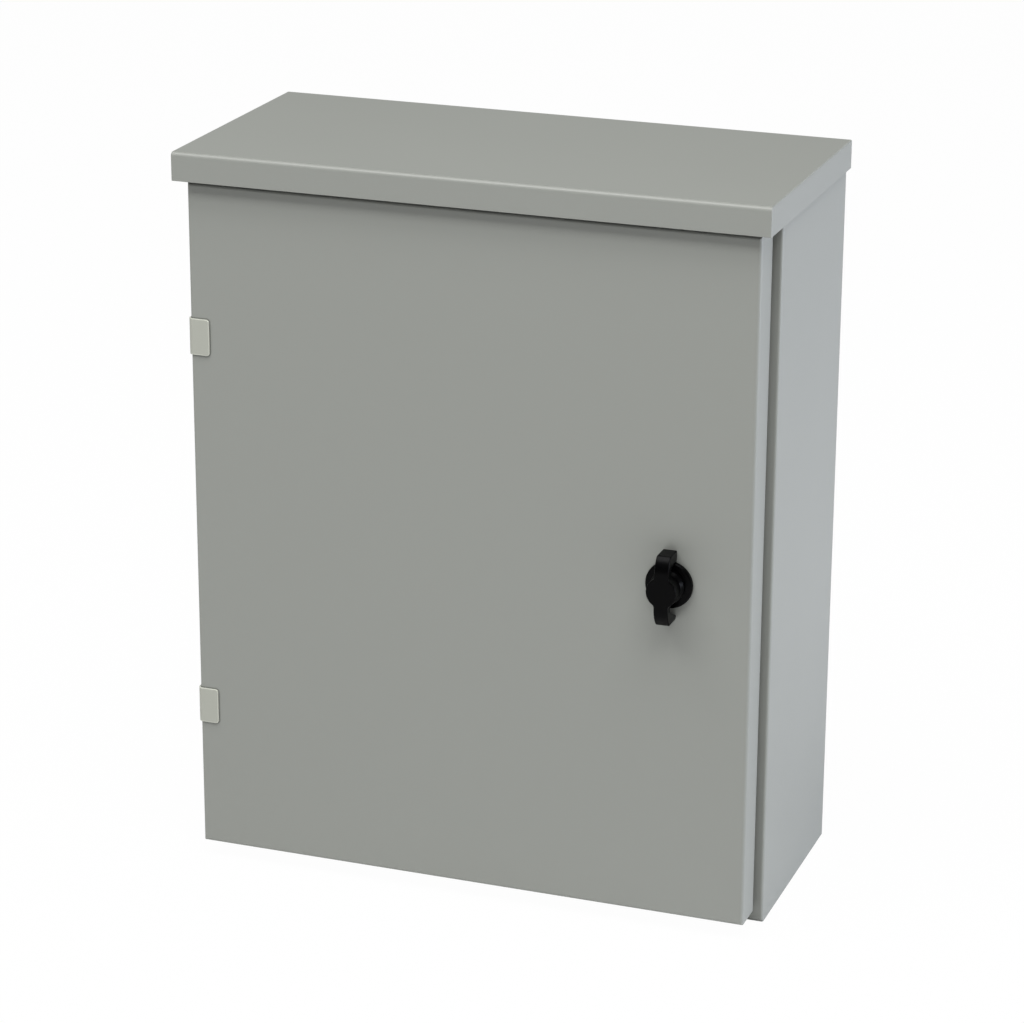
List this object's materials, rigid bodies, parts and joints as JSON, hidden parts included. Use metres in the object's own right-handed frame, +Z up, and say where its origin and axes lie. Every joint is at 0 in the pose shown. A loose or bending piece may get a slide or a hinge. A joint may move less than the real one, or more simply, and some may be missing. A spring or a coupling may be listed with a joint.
{
  "type": "wall-mounted electrical enclosure",
  "caption": "Sheet-steel wall enclosure with a flat drip hood, a left-hinged pan door, a wing-knob quarter-turn latch, a gasket and an inner equipment plate.",
  "frame": {"origin": "centre of the four wall-mounting holes, on the wall plane", "axes": "+X to the right seen from the front, +Y into the wall, +Z up; the door faces -Y"},
  "size_m": [0.412, 0.2086, 0.511],
  "materials": {
    "shell_paint": "light grey powder coat, fine orange peel",
    "door_paint": "light grey powder coat, fine orange peel",
    "hinge_paint": "light grey powder coat over a thin leaf",
    "plate_paint": "white enamel",
    "zinc_steel": "bright zinc plate",
    "dark_steel": "black oxide",
    "knob_plastic": "black moulded nylon",
    "housing_plastic": "black moulded nylon",
    "gasket_foam": "closed-cell foam"
  },
  "bodies": {
    "enclosure": {"body_wrapper": "shell_paint", "body_top": "shell_paint", "body_bottom": "shell_paint", "door_collar": "shell_paint", "drip_hood": "shell_paint", "equipment_plate": "plate_paint", "hinge_body_leaf_upper": "hinge_paint", "hinge_pin_upper": "dark_steel", "hinge_body_leaf_lower": "hinge_paint", "hinge_pin_lower": "dark_steel", "plate_stud_upper_left": "zinc_steel", "plate_nut_upper_left": "zinc_steel", "plate_stud_upper_right": "zinc_steel", "plate_nut_upper_right": "zinc_steel", "plate_stud_lower_left": "zinc_steel", "plate_nut_lower_left": "zinc_steel", "plate_stud_lower_right": "zinc_steel", "plate_nut_lower_right": "zinc_steel", "ground_stud_body": "zinc_steel", "ground_washer_body": "zinc_steel", "ground_nut_body": "zinc_steel"},
    "door": {"door_pan": "door_paint", "door_gasket": "gasket_foam", "latch_housing": "housing_plastic", "latch_seal": "gasket_foam", "latch_nut": "zinc_steel", "hinge_door_leaf_upper": "hinge_paint", "hinge_door_leaf_lower": "hinge_paint", "ground_stud_door": "zinc_steel", "ground_washer_door": "zinc_steel", "ground_nut_door": "zinc_steel"},
    "latch": {"wing_knob": "knob_plastic", "latch_shaft": "zinc_steel", "latch_cam": "zinc_steel", "cam_washer": "zinc_steel", "cam_screw": "zinc_steel"}
  },
  "joints": [
    {"name": "door_hinge", "type": "hinge", "parent": "enclosure", "child": "door", "pos_m": [-0.2008, -0.1749, 0], "axis": [0, 0, -1], "range_deg": [0, 180]},
    {"name": "latch_turn", "type": "hinge", "parent": "door", "child": "latch", "pos_m": [0.14245, -0.1985, -0.0041], "axis": [0, -1, 0], "range_deg": [0, 90]}
  ]
}
